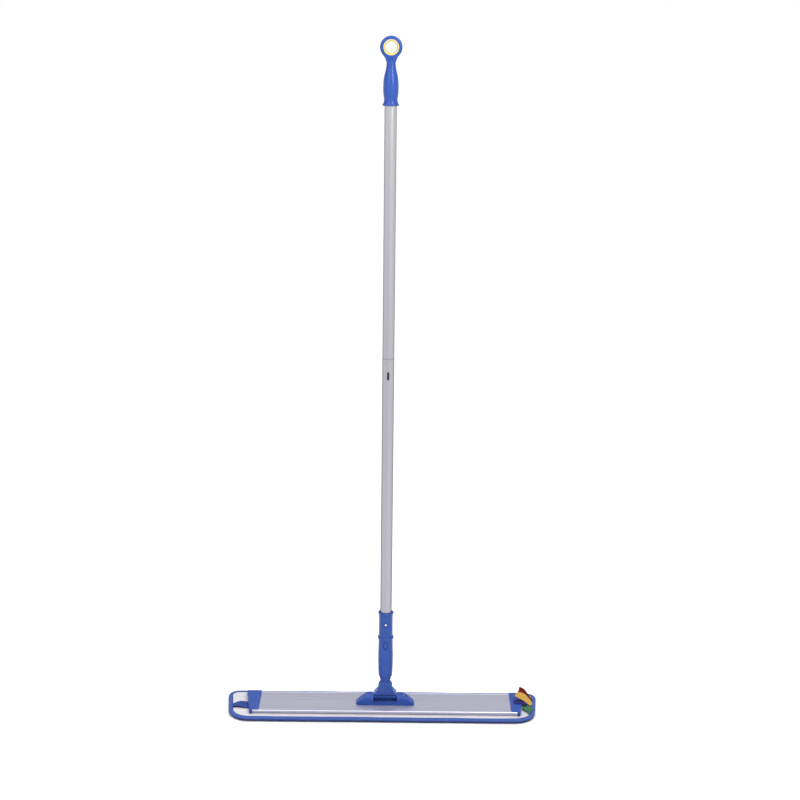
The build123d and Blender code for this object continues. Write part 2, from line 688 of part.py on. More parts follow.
with BuildPart() as pole_adapter:
    # spigot, flange, sleeve and collar as one turned outline
    with BuildSketch(Plane.XZ):
        with BuildLine():
            spigot_r = SOCKET_BORE_R - SPIGOT_GAP
            tube_bore_r = TUBE_R + TUBE_GAP
            Polyline(
                (SPIGOT_INNER_R, SOCKET_FLOOR + 3),
                (spigot_r - 1.0, SOCKET_FLOOR + 3),
                (spigot_r, SOCKET_FLOOR + 5),
                (spigot_r, SOCKET_TOP),
                (FLANGE_R - 0.6, SOCKET_TOP),
                (FLANGE_R, SOCKET_TOP + 0.8),
                (FLANGE_R, FLANGE_TOP - 0.8),
                (FLANGE_R - 0.6, FLANGE_TOP),
                (SLEEVE_R, FLANGE_TOP),
                (SLEEVE_R, COLLAR_BOTTOM),
                (COLLAR_R, COLLAR_BOTTOM + 1.4),
                (COLLAR_R, COLLAR_TOP - 1.0),
                (COLLAR_R - 1.0, COLLAR_TOP),
                (tube_bore_r + 0.8, COLLAR_TOP),
                (tube_bore_r, COLLAR_TOP - 0.8),
                (tube_bore_r, TUBE_STOP),
                (SPIGOT_INNER_R, TUBE_STOP),
                close=True,
            )
        make_face()
    revolve(axis=Axis.Z)
    # window for the release button
    extrude(
        obround(facing_front(0, BUTTON_Z), BUTTON[0] + 2 * BUTTON_GAP, BUTTON[1] + 2 * BUTTON_GAP),
        amount=20,
        mode=Mode.SUBTRACT,
    )
    # round dish and hole for the screw
    with BuildSketch(facing_front(SCREW_DISH_Y, ADAPTER_SCREW_Z)):
        Circle(SCREW_DISH_R)
    extrude(amount=5, mode=Mode.SUBTRACT)
    with BuildSketch(facing_front(0, ADAPTER_SCREW_Z)):
        Circle(ADAPTER_SCREW_R + 0.1)
    extrude(amount=20, mode=Mode.SUBTRACT)
save(pole_adapter, "pole_adapter")

with BuildPart() as adapter_screw:
    with BuildSketch(facing_front(SCREW_DISH_Y, ADAPTER_SCREW_Z)):
        Circle(ADAPTER_HEAD_R)
    extrude(amount=ADAPTER_HEAD_T)
    fillet(adapter_screw.edges().group_by(Axis.Y)[0], 0.6)
    with BuildSketch(facing_front(SCREW_DISH_Y, ADAPTER_SCREW_Z)):
        Circle(ADAPTER_SCREW_R)
    extrude(amount=SCREW_DISH_Y - ADAPTER_SCREW_TIP_Y)
    with BuildSketch(facing_front(SCREW_DISH_Y - ADAPTER_HEAD_T + 0.6, ADAPTER_SCREW_Z)):
        Rectangle(DRIVE_SLOT[0], DRIVE_SLOT[1])
        Rectangle(DRIVE_SLOT[1], DRIVE_SLOT[0])
    extrude(amount=1, mode=Mode.SUBTRACT)
save(adapter_screw, "adapter_screw")


def leaf_spring(front_y, back_y, middle_z, reach):
    """A U-shaped steel leaf: front leg, bend below, back leg."""
    with BuildPart() as leaf:
        with BuildSketch(Plane.YZ):
            with BuildLine():
                FilletPolyline(
                    (front_y, middle_z + reach),
                    (front_y, middle_z - reach - 6),
                    (back_y, middle_z - reach - 6),
                    (back_y, middle_z + reach),
                    radius=4.0,
                )
            trace(line_width=LEAF_T)
        extrude(amount=LEAF_WIDTH / 2, both=True)
    return leaf


# ================================================================ release button

with BuildPart() as release_button:
    extrude(obround(facing_front(BUTTON_BACK_Y, BUTTON_Z), *BUTTON), amount=BUTTON_BACK_Y - BUTTON_FACE_Y)
    fillet(release_button.edges().group_by(Axis.Y)[0], 0.8)
    extrude(
        obround(facing_front(BUTTON_BACK_Y, BUTTON_Z), *BUTTON_FLANGE),
        amount=-BUTTON_FLANGE_T,
    )
save(release_button, "release_button")

button_spring = leaf_spring(
    BUTTON_BACK_Y + BUTTON_FLANGE_T + LEAF_T / 2,
    SPIGOT_INNER_R - 0.8,
    BUTTON_Z,
    7.0,
)
save(button_spring, "button_spring")

# ================================================================ two-piece pole


def tube(bottom, top, radius, wall):
    """An upright round tube."""
    with BuildPart() as pipe:
        with BuildSketch(Plane.XY.offset(bottom)):
            Circle(radius)
            Circle(radius - wall, mode=Mode.SUBTRACT)
        extrude(amount=top - bottom)
    return pipe


snap_window = (SNAP[0] + 2 * SNAP_GAP, SNAP[1] + 2 * SNAP_GAP)

with BuildPart() as lower_tube:
    add(tube(TUBE_STOP, SEAM_Z, TUBE_R, TUBE_WALL).part)
    extrude(obround(facing_front(0, SNAP_Z), *snap_window), amount=20, mode=Mode.SUBTRACT)
    with BuildSketch(facing_front(0, ADAPTER_SCREW_Z)):
        Circle(ADAPTER_SCREW_R + 0.1)
    extrude(amount=20, mode=Mode.SUBTRACT)
save(lower_tube, "lower_tube")

with BuildPart() as upper_tube:
    add(tube(SEAM_Z, TUBE_TOP, TUBE_R, TUBE_WALL).part)
    with BuildSketch(facing_front(0, RIVET_Z)):
        Circle(RIVET_R + 0.05)
    extrude(amount=-20, mode=Mode.SUBTRACT)
save(upper_tube, "upper_tube")

# Inner sleeve that joins the two tubes, riveted in the upper one.
with BuildPart() as pole_coupler:
    add(tube(*COUPLER, COUPLER_R, COUPLER_WALL).part)
    extrude(obround(facing_front(0, SNAP_Z), *snap_window), amount=20, mode=Mode.SUBTRACT)
    with BuildSketch(facing_front(0, RIVET_Z)):
        Circle(RIVET_R + 0.05)
    extrude(amount=-20, mode=Mode.SUBTRACT)
save(pole_coupler, "pole_coupler")

with BuildPart() as coupler_rivet:
    with BuildSketch(facing_front(COUPLER_R - COUPLER_WALL - 0.6, RIVET_Z)):
        Circle(RIVET_R)
    extrude(amount=-(TUBE_R - COUPLER_R + COUPLER_WALL + 0.7))
    with BuildSketch(facing_front(TUBE_R + 0.05, RIVET_Z)):
        Circle(2 * RIVET_R)
    extrude(amount=-0.9)
    fillet(coupler_rivet.edges().group_by(Axis.Y)[-1], 0.5)
save(coupler_rivet, "coupler_rivet")

with BuildPart() as snap_button:
    snap_face_y = -TUBE_R - SNAP_PROUD
    extrude(obround(facing_front(SNAP_FLANGE_Y, SNAP_Z), *SNAP), amount=SNAP_FLANGE_Y - snap_face_y)
    fillet(snap_button.edges().group_by(Axis.Y)[0], 0.7)
    extrude(obround(facing_front(SNAP_FLANGE_Y, SNAP_Z), *SNAP_FLANGE), amount=-SNAP_FLANGE_T)
save(snap_button, "snap_button")

snap_spring = leaf_spring(
    SNAP_FLANGE_Y + SNAP_FLANGE_T + LEAF_T / 2,
    COUPLER_R - COUPLER_WALL - 0.8,
    SNAP_Z,
    9.0,
)
save(snap_spring, "snap_spring")

# ================================================================ hanging grip

with BuildPart() as hanging_grip:
    # hand grip, turned about the pole's axis
    neck_end = (GRIP_NECK_END[0], GRIP_NECK_Z + GRIP_NECK_END[1])
    rim_start = (GRIP_RIM_R, GRIP_BOTTOM + GRIP_RIM[1])
    with BuildSketch(Plane.XZ):
        with BuildLine():
            Polyline((0, neck_end[1]), (0, GRIP_BOTTOM), (GRIP_RIM_R - GRIP_RIM[0], GRIP_BOTTOM), rim_start)
            Spline(rim_start, *GRIP_CURVE, (GRIP_NECK_R, GRIP_NECK_Z), neck_end)
            Line(neck_end, (0, neck_end[1]))
        make_face()
    revolve(axis=Axis.Z)
    # flared root of the hanging ring
    root, bend = (GRIP_NECK_R - 0.4, GRIP_NECK_Z), FLARE_BEND
    with BuildSketch(Plane.XZ):
        with BuildLine():
            Line((-root[0], root[1]), root)
            ThreePointArc(root, bend, (FLARE_X, FLARE_Z))
            Line((FLARE_X, FLARE_Z), (-FLARE_X, FLARE_Z))
            ThreePointArc((-FLARE_X, FLARE_Z), (-bend[0], bend[1]), (-root[0], root[1]))
        make_face()
    extrude(amount=FLARE_HALF_Y, both=True)
    # the ring, turned about its own axis
    with BuildSketch(Plane.XY.offset(RING_Z)) as ring_section:
        Rectangle(RING_R, 2 * RING_HALF_Y, align=(Align.MIN, Align.CENTER))
        fillet(ring_section.vertices().group_by(Axis.X)[-1], RING_EDGE_R)
    revolve(axis=Axis((0, 0, RING_Z), (0, 1, 0)))
    # seat of the eye insert, and the tube's bore
    with BuildSketch(facing_front(0, RING_Z)):
        Circle(EYE_R)
    extrude(amount=RING_HALF_Y + 1, both=True, mode=Mode.SUBTRACT)
    with Locations((0, 0, GRIP_BOTTOM)):
        Cylinder(
            GRIP_BORE_R,
            TUBE_TOP - GRIP_BOTTOM,
            align=(Align.CENTER, Align.CENTER, Align.MIN),
            mode=Mode.SUBTRACT,
        )
save(hanging_grip, "hanging_grip")

# Eye insert: a lined hanging hole, dished on both faces.
with BuildPart() as eye_insert:
    with BuildSketch(Plane.XY.offset(RING_Z)):
        with BuildLine():
            Polyline(
                (EYE_HOLE_R, -EYE_THROAT_HALF),
                (EYE_HOLE_R, EYE_THROAT_HALF),
                (EYE_DISH_R, EYE_HALF_Y),
                (EYE_FLANGE_R, EYE_HALF_Y),
                (EYE_FLANGE_R, RING_HALF_Y),
                (EYE_R, RING_HALF_Y),
                (EYE_R, -RING_HALF_Y),
                (EYE_FLANGE_R, -RING_HALF_Y),
                (EYE_FLANGE_R, -EYE_HALF_Y),
                (EYE_DISH_R, -EYE_HALF_Y),
                close=True,
            )
        make_face()
    revolve(axis=Axis((0, 0, RING_Z), (0, 1, 0)))
save(eye_insert, "eye_insert")
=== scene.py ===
"""Flat mop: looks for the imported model, in the model's own frame.

Lengths are in metres. Those written in mm are multiplied by MM or pass through in_metres."""
import json
import math

import bpy
import numpy as np
from mathutils import Matrix, Vector, noise


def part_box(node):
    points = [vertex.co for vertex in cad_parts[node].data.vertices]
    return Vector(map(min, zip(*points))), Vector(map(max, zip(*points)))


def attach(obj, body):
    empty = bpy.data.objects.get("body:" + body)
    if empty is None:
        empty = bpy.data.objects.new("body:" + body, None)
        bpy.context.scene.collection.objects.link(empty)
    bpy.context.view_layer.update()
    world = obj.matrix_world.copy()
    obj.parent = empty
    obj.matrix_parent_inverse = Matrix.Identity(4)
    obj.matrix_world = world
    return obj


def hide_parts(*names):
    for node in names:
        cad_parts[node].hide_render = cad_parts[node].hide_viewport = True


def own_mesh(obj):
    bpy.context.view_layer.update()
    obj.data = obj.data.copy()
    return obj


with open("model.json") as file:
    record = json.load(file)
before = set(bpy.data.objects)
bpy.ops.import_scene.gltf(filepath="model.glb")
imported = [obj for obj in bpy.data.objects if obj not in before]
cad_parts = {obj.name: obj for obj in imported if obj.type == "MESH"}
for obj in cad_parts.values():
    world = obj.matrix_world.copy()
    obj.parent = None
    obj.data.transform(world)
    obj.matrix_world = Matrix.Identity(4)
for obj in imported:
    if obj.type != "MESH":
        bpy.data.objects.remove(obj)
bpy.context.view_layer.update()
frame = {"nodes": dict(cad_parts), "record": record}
nodes = frame["nodes"]
MM = 0.001

# ---------------------------------------------------------------- sizes read from the frame
RIM_LOW, RIM_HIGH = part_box("pad_binding")
PLATE_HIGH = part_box("frame_plate")[1]
CAP_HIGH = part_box("end_cap_right")[1]
BACKING_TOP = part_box("pad_backing")[1].z
PILE_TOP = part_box("pad_pile")[1].z
SEAM_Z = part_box("lower_tube")[1].z

# ---------------------------------------------------------------- the pad's outline
END_SLANT = 13 * MM         # the pad's ends lean in by this much from back to front
BACK_RADIUS = 22 * MM
FRONT_RADIUS = 46 * MM
CORNER_LEAN = 0.8           # back radii of lean by which the sharp back corner lies past the pad's box
SMALLEST_RADIUS = 0.6 * MM
LONG_RUN, SHORT_RUN, CORNER_RUN = 150, 26, 14  # steps along a side, along an end and round a corner


# ================================================================ materials


def start_material(name, roughness, **constants):
    """A Principled material with constants set straight on the shader's sockets."""
    material = bpy.data.materials.new(name)
    material.use_nodes = True
    tree = material.node_tree
    shader = tree.nodes["Principled BSDF"]
    shader.inputs["Roughness"].default_value = roughness
    for socket, value in constants.items():
        shader.inputs[socket.replace("_", " ")].default_value = value
    return material, tree, shader


def coordinates(tree, scale, source="Object"):
    """Texture coordinates of the piece itself, stretched by a scale for each axis."""
    place = tree.nodes.new("ShaderNodeTexCoord")
    mapping = tree.nodes.new("ShaderNodeMapping")
    mapping.inputs["Scale"].default_value = scale
    tree.links.new(place.outputs[source], mapping.inputs["Vector"])
    return mapping.outputs["Vector"]


def noise_value(tree, vector, scale, detail=3.0, rough=0.55):
    """Cloudy noise from 0 to 1."""
    texture = tree.nodes.new("ShaderNodeTexNoise")
    texture.inputs["Scale"].default_value = scale
    texture.inputs["Detail"].default_value = detail
    texture.inputs["Roughness"].default_value = rough
    tree.links.new(vector, texture.inputs["Vector"])
    return texture.outputs["Fac"]


def wave_value(tree, vector, scale, direction):
    """Straight bands across one direction, from 0 to 1."""
    texture = tree.nodes.new("ShaderNodeTexWave")
    texture.bands_direction = direction
    texture.inputs["Scale"].default_value = scale
    tree.links.new(vector, texture.inputs["Vector"])
    return texture.outputs["Fac"]


def remap(tree, value, low, high, from_low=0.3, from_high=0.7):
    """A value stretched from one range to another, and held at the range's ends."""
    node = tree.nodes.new("ShaderNodeMapRange")
    node.inputs["From Min"].default_value = from_low
    node.inputs["From Max"].default_value = from_high
    node.inputs["To Min"].default_value = low
    node.inputs["To Max"].default_value = high
    tree.links.new(value, node.inputs["Value"])
    return node.outputs["Result"]


def maths(tree, operation, first, second):
    """One arithmetic step on two values, each a number or another node's output."""
    node = tree.nodes.new("ShaderNodeMath")
    node.operation = operation
    for socket, value in zip(node.inputs, (first, second)):
        if isinstance(value, (int, float)):
            socket.default_value = value
        else:
            tree.links.new(value, socket)
    return node.outputs["Value"]


def blend_colours(tree, factor, first, second):
    """The first colour where factor is 0, the second where it is 1."""
    node = tree.nodes.new("ShaderNodeMix")
    node.data_type = "RGBA"
    tree.links.new(factor, node.inputs["Factor"])
    for socket, value in ((node.inputs["A"], first), (node.inputs["B"], second)):
        if isinstance(value, tuple):
            socket.default_value = (*value, 1.0)
        else:
            tree.links.new(value, socket)
    return node.outputs["Result"]


def add_bump(tree, shader, height, distance):
    """Fine relief under the shader, distance metres deep."""
    node = tree.nodes.new("ShaderNodeBump")
    node.inputs["Distance"].default_value = distance
    tree.links.new(height, node.inputs["Height"])
    tree.links.new(node.outputs["Normal"], shader.inputs["Normal"])


PLASTIC_GRAIN = 0.000005    # depth of the spark-eroded grain


def moulded_plastic(name, colour, deep, roughness):
    """Moulded plastic: faint colour drift, uneven gloss and a fine spark-eroded grain."""
    material, tree, shader = start_material(name, roughness, Specular_IOR_Level=0.26)
    vector = coordinates(tree, (1, 1, 1))
    drift = remap(tree, noise_value(tree, vector, 38.0), 0.0, 1.0)
    tree.links.new(blend_colours(tree, drift, deep, colour), shader.inputs["Base Color"])
    gloss = remap(tree, noise_value(tree, vector, 90.0, 3.0), roughness - 0.01, roughness + 0.02)
    tree.links.new(gloss, shader.inputs["Roughness"])
    add_bump(tree, shader, noise_value(tree, vector, 2600.0, 2.0), PLASTIC_GRAIN)
    return material


def anodised(name, colour, deep, stretch, roughness, metallic):
    """Satin anodised aluminium: fine drawing lines and broader bands along the extrusion."""
    rim = (0.0, 0.0, 0.02, 1.0)
    material, tree, shader = start_material(name, roughness, Metallic=metallic, Specular_Tint=rim)
    fine = noise_value(tree, coordinates(tree, stretch), 1.0, 6.0, 0.65)
    broad = noise_value(tree, coordinates(tree, stretch), 0.16, 2.0, 0.5)
    lines = maths(tree, "ADD", maths(tree, "MULTIPLY", fine, 0.45), maths(tree, "MULTIPLY", broad, 0.55))
    shade = remap(tree, lines, 0.0, 1.0, 0.36, 0.64)
    tree.links.new(blend_colours(tree, shade, deep, colour), shader.inputs["Base Color"])
    tree.links.new(remap(tree, fine, roughness - 0.05, roughness + 0.07), shader.inputs["Roughness"])
    add_bump(tree, shader, fine, 0.00003)
    return material


def bright_steel(name, colour, deep, roughness=0.28):
    """Plated steel with fine scratches in all directions."""
    material, tree, shader = start_material(name, roughness, Metallic=1.0)
    vector = coordinates(tree, (1, 1, 1))
    cloud = noise_value(tree, vector, 900.0, 4.0)
    tree.links.new(
        blend_colours(tree, remap(tree, cloud, 0.0, 1.0), deep, colour), shader.inputs["Base Color"]
    )
    tree.links.new(remap(tree, cloud, roughness - 0.08, roughness + 0.1), shader.inputs["Roughness"])
    add_bump(tree, shader, noise_value(tree, vector, 3200.0, 2.0), 0.00002)
    return material


def woven(name, colour, deep, thread=0.0009, roughness=0.88, sheen=0.02, relief=0.00018):
    """A woven tape: warp ribs along it and a finer weft across it, on its own flat coordinates."""
    material, tree, shader = start_material(
        name, roughness, Sheen_Weight=sheen, Sheen_Roughness=0.5, Specular_IOR_Level=0.2
    )
    flat = coordinates(tree, (1, 1, 1), "UV")
    rib = wave_value(tree, flat, 0.5 / thread, "X")
    weft = wave_value(tree, flat, 0.8 / thread, "Y")
    weave = maths(tree, "ADD", maths(tree, "MULTIPLY", rib, 0.6), maths(tree, "MULTIPLY", weft, 0.4))
    fade = noise_value(tree, flat, 160.0, 4.0)
    shade = maths(tree, "ADD", maths(tree, "MULTIPLY", weave, 0.55), maths(tree, "MULTIPLY", fade, 0.6))
    tree.links.new(
        blend_colours(tree, remap(tree, shade, 0.0, 1.0, 0.25, 0.85), deep, colour),
        shader.inputs["Base Color"],
    )
    add_bump(tree, shader, weave, relief)
    return material


def looped_cloth(name, colour, deep, loop=0.0011, relief=0.0005, sheen=0.08):
    """Brushed loop cloth: small round loops with fluff between them."""
    material, tree, shader = start_material(name, 0.92, Sheen_Weight=sheen, Sheen_Roughness=0.6)
    vector = coordinates(tree, (1, 1, 1))
    cells = tree.nodes.new("ShaderNodeTexVoronoi")
    cells.inputs["Scale"].default_value = 1.0 / loop
    cells.inputs["Randomness"].default_value = 0.8
    tree.links.new(vector, cells.inputs["Vector"])
    fluff = noise_value(tree, vector, 2.4 / loop, 4.0)
    cloud = noise_value(tree, vector, 45.0, 3.0)
    hollow = remap(tree, cells.outputs["Distance"], 1.0, 0.0, 0.15, 0.75)
    height = maths(tree, "ADD", maths(tree, "MULTIPLY", hollow, 0.7), maths(tree, "MULTIPLY", fluff, 0.3))
    shade = maths(tree, "ADD", maths(tree, "MULTIPLY", height, 0.7), maths(tree, "MULTIPLY", cloud, 0.4))
    tree.links.new(
        blend_colours(tree, remap(tree, shade, 0.0, 1.0, 0.2, 0.8), deep, colour),
        shader.inputs["Base Color"],
    )
    add_bump(tree, shader, height, relief)
    return material


def paint_shade_below(material, low, high, dark):
    """Painted shade: multiply a material's colour by dark below the height low, and leave it alone above
    high.
    """
    tree = material.node_tree
    shader = tree.nodes["Principled BSDF"]
    colour = shader.inputs["Base Color"].links[0].from_socket
    split = tree.nodes.new("ShaderNodeSeparateXYZ")
    tree.links.new(coordinates(tree, (1, 1, 1)), split.inputs["Vector"])
    factor = remap(tree, split.outputs["Z"], 0.0, 1.0, low, high)
    shaded = tree.nodes.new("ShaderNodeMix")
    shaded.data_type = "RGBA"
    shaded.blend_type = "MULTIPLY"
    shaded.inputs["Factor"].default_value = 1.0
    tree.links.new(colour, shaded.inputs["A"])
    tree.links.new(blend_colours(tree, factor, dark, (1.0, 1.0, 1.0)), shaded.inputs["B"])
    tree.links.new(shaded.outputs["Result"], shader.inputs["Base Color"])
    return material


def paint_seam_shade(material, height, half_width, dark):
    """Painted shade: a faint dark ring round a piece at one height of its own, where two parts meet."""
    tree = material.node_tree
    shader = tree.nodes["Principled BSDF"]
    colour = shader.inputs["Base Color"].links[0].from_socket
    split = tree.nodes.new("ShaderNodeSeparateXYZ")
    tree.links.new(coordinates(tree, (1, 1, 1)), split.inputs["Vector"])
    off = maths(tree, "ABSOLUTE", maths(tree, "SUBTRACT", split.outputs["Z"], height), 0.0)
    factor = remap(tree, off, 0.0, 1.0, 0.25 * half_width, half_width)
    tree.links.new(blend_colours(tree, factor, dark, colour), shader.inputs["Base Color"])
    return material


BLUE = (0.026, 0.074, 0.33)
BLUE_DEEP = (0.022, 0.064, 0.295)
ALONG_X, ALONG_Z = (3, 1500, 1500), (1300, 1300, 2)
MATERIALS = {
    "blue_plastic": moulded_plastic("blue_plastic", BLUE, BLUE_DEEP, 0.27),
    "yellow_plastic": moulded_plastic("yellow_plastic", (0.62, 0.55, 0.22), (0.52, 0.43, 0.13), 0.42),
    "dark_plastic": moulded_plastic("dark_plastic", (0.03, 0.03, 0.035), (0.016, 0.016, 0.02), 0.4),
    "extrusion": anodised("extrusion", (0.62, 0.62, 0.74), (0.52, 0.52, 0.63), ALONG_X, 0.34, 0.68),
    # painted shade: a dark ring round the pole at SEAM_Z, where the lower and upper tubes meet
    "pole_aluminium": paint_seam_shade(
        # painted shade: the pole's colour darkens towards the bottom below 1.25 m, as if lit from above
        paint_shade_below(
            anodised("pole_aluminium", (0.58, 0.58, 0.61), (0.46, 0.46, 0.50), ALONG_Z, 0.26, 0.94),
            0.2, 1.25, (0.72, 0.70, 0.74),
        ),
        SEAM_Z, 0.0016, (0.30, 0.30, 0.33),
    ),
    "steel": bright_steel("steel", (0.72, 0.72, 0.74), (0.55, 0.55, 0.58)),
    "spring_steel": bright_steel("spring_steel", (0.34, 0.35, 0.38), (0.22, 0.23, 0.27), 0.34),
    "hook_tape": looped_cloth("hook_tape", (0.05, 0.05, 0.055), (0.012, 0.012, 0.014), 0.0016, 0.0007),
    "backing_fabric": looped_cloth("backing_fabric", (0.70, 0.68, 0.71), (0.47, 0.45, 0.49), 0.0012),
    "pile_fabric": looped_cloth("pile_fabric", (0.74, 0.74, 0.77), (0.42, 0.42, 0.47), 0.0022, 0.0012),
    "core_fabric": looped_cloth("core_fabric", (0.52, 0.52, 0.55), (0.38, 0.38, 0.42), 0.0009),
    # painted shade: the tape darkens below 7.4 mm, on its lower side that faces the floor
    "binding_tape": paint_shade_below(
        woven("binding_tape", (0.070, 0.128, 0.40), (0.034, 0.07, 0.25), 0.0010),
        0.0040, 0.0074, (0.20, 0.22, 0.36),
    ),
    "strap_webbing": woven(
        "strap_webbing", (0.045, 0.10, 0.36), (0.010, 0.025, 0.13), 0.0014, relief=0.0003
    ),
    "tag_yellow_cloth": woven("tag_yellow_cloth", (0.60, 0.36, 0.08), (0.42, 0.23, 0.035), 0.0006),
    "tag_red_cloth": woven("tag_red_cloth", (0.17, 0.004, 0.004), (0.07, 0.002, 0.002), 0.0006),
    "tag_green_cloth": woven("tag_green_cloth", (0.060, 0.20, 0.10), (0.020, 0.085, 0.045), 0.0006),
    "tag_blue_cloth": woven("tag_blue_cloth", (0.045, 0.036, 0.27), (0.018, 0.014, 0.13), 0.0006),
    "blue_thread": woven("blue_thread", (0.035, 0.065, 0.24), (0.015, 0.03, 0.13), 0.0005),
}


def dress_cad_nodes():
    """Every CAD node gets the procedural material of its own slot."""
    for part in frame["record"]["subparts"]:
        mesh = nodes[part["node"]].data
        mesh.materials.clear()
        mesh.materials.append(MATERIALS[part["material_slot"]])


# ================================================================ mesh tools


def make_piece(name, points, faces, material, body, flat=None):
    """A smooth mesh piece that rides on a body; flat gives each point's place on the flat cloth."""
    mesh = bpy.data.meshes.new(name)
    mesh.from_pydata([tuple(p) for p in points], [], faces)
    mesh.validate()
    mesh.materials.append(MATERIALS[material])
    for face in mesh.polygons:
        face.use_smooth = True
    if flat is not None:
        layer = mesh.uv_layers.new(name="flat")
        for loop in mesh.loops:
            layer.data[loop.index].uv = flat[loop.vertex_index]
    piece = bpy.data.objects.new(name, mesh)
    bpy.context.scene.collection.objects.link(piece)
    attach(piece, body)
    return piece


def grid_normals(grid, closed):
    """Unit normals of a grid of points; closed wraps its rows round."""
    if closed:
        along = np.roll(grid, -1, axis=0) - np.roll(grid, 1, axis=0)
    else:
        along = np.gradient(grid, axis=0)
    across = np.gradient(grid, axis=1)
    normal = np.cross(along, across)
    return normal / np.maximum(np.linalg.norm(normal, axis=2, keepdims=True), 1e-12)


def cloth_shell(grid, thickness, closed=False):
    """Points, faces and flat coordinates of a closed shell round a grid of points."""
    rows, columns = grid.shape[:2]
    normal = grid_normals(grid, closed)
    layers = [grid + normal * thickness / 2, grid - normal * thickness / 2]
    points = np.concatenate([layer.reshape(-1, 3) for layer in layers])
    size = rows * columns
    step_row = np.linalg.norm(np.diff(grid, axis=0), axis=2).mean(1)
    step_column = np.linalg.norm(np.diff(grid, axis=1), axis=2).mean(0)
    along = np.concatenate([[0], np.cumsum(step_row)])
    across = np.concatenate([[0], np.cumsum(step_column)])
    flat = [(across[c], along[r]) for _ in layers for r in range(rows) for c in range(columns)]
    faces = []

    def index(layer, row, column):
        """Number of one point; the rows wrap round."""
        return layer * size + (row % rows) * columns + column

    for r in range(rows if closed else rows - 1):
        for c in range(columns - 1):
            quad = [(r, c), (r, c + 1), (r + 1, c + 1), (r + 1, c)]
            faces.append([index(0, *q) for q in reversed(quad)])
            faces.append([index(1, *q) for q in quad])
        for c in (0, columns - 1):
            rim = [index(0, r, c), index(0, r + 1, c), index(1, r + 1, c), index(1, r, c)]
            faces.append(rim if c else rim[::-1])
    if not closed:
        for r in (0, rows - 1):
            for c in range(columns - 1):
                rim = [index(0, r, c), index(0, r, c + 1), index(1, r, c + 1), index(1, r, c)]
                faces.append(rim if not r else rim[::-1])
    return points, faces, flat


# ================================================================ pad outline


def rounded_outline(inset):
    """Points round the pad, moved in by inset, with the outward direction at each.

    Every inset gives the same number of points, so that nested outlines join up."""
    middle = (RIM_LOW.x + RIM_HIGH.x) / 2
    half = (RIM_HIGH.x - RIM_LOW.x) / 2
    slant = END_SLANT / (RIM_HIGH.y - RIM_LOW.y)
    back_half = half + slant * BACK_RADIUS * CORNER_LEAN - inset
    front_half = back_half - END_SLANT
    back_y = RIM_HIGH.y - inset
    front_y = RIM_LOW.y + inset
    corners = [
        (Vector((middle - front_half, front_y)), FRONT_RADIUS),
        (Vector((middle + front_half, front_y)), FRONT_RADIUS),
        (Vector((middle + back_half, back_y)), BACK_RADIUS),
        (Vector((middle - back_half, back_y)), BACK_RADIUS),
    ]
    arcs = []
    for k, (corner, radius) in enumerate(corners):
        radius = max(radius - inset, SMALLEST_RADIUS)
        before = (corners[k - 1][0] - corner).normalized()
        after = (corners[(k + 1) % 4][0] - corner).normalized()
        turn = before.angle(after)
        reach = radius / math.tan(turn / 2)
        centre = corner + (before + after).normalized() * radius / math.sin(turn / 2)
        start = corner + before * reach - centre
        end = corner + after * reach - centre
        sweep = start.angle_signed(end)
        arcs.append([(centre, start, -sweep * t / CORNER_RUN) for t in range(CORNER_RUN + 1)])
    points, outward = [], []
    for k, arc in enumerate(arcs):
        for centre, start, angle in arc:
            turned = Vector(start)
            turned.rotate(Matrix.Rotation(angle, 2))
            points.append(centre + turned)
            outward.append(turned.normalized())
        nxt = arcs[(k + 1) % 4][0]
        target = nxt[0] + nxt[1]
        count = LONG_RUN if k % 2 == 0 else SHORT_RUN
        last, way = points[-1], outward[-1]
        for t in range(1, count):
            points.append(last.lerp(target, t / count))
            outward.append(way)
    return np.array(points), np.array(outward)


def waves(points, wavelength, seed):
    """Smooth noise from -1 to 1 at each plan position."""
    return np.array([noise.noise(Vector((p[0] / wavelength, p[1] / wavelength, seed))) for p in points])


# ================================================================ pad


def closing_faces(first, count, flip):
    """Quads across a ring, from its front run to its back run, so that no face has many sides."""
    faces = []
    for k in range(-(SHORT_RUN // 2), count // 2 - SHORT_RUN // 2):
        mirror = count - SHORT_RUN - k
        corners = [k, k + 1, mirror - 1, mirror]
        face = list(dict.fromkeys(first + corner % count for corner in corners))
        faces.append(face[::-1] if flip else face)
    return faces


def nested_body(rings):
    """Points and faces of a closed body made of rings from one middle round the rim to the other."""
    count = len(rings[0])
    points = np.concatenate(rings)
    faces = closing_faces(0, count, False)
    for k in range(len(rings) - 1):
        for i in range(count):
            j = (i + 1) % count
            faces.append([k * count + j, k * count + i, (k + 1) * count + i, (k + 1) * count + j])
    faces += closing_faces((len(rings) - 1) * count, count, True)
    return points, faces


def level_ring(inset, height):
    """One flat ring of the pad's outline, moved in by inset."""
    plan, _ = rounded_outline(inset)
    return np.column_stack([plan, np.full(len(plan), height)])


FRAME_MARGIN = 1.5 * MM     # the pad stays pressed flat this far round the frame
SWELL_PRESSURE = 4.0
SWELL_LIMIT = 1.3 * MM
SWELL_STEPS = 20
RIPPLE_HEIGHT = 0.28 * MM
BROAD_RIPPLE, FINE_RIPPLE = 42.0, 130.0  # noise scales


def under_frame(point):
    """Whether a point of the pad lies under the plate or an end cap."""
    return abs(point[0]) < CAP_HIGH.x + FRAME_MARGIN and abs(point[1]) < PLATE_HIGH.y + FRAME_MARGIN


def smooth(piece):
    """One level of subdivision."""
    soft = piece.modifiers.new("soft", "SUBSURF")
    soft.levels = soft.render_levels = 1


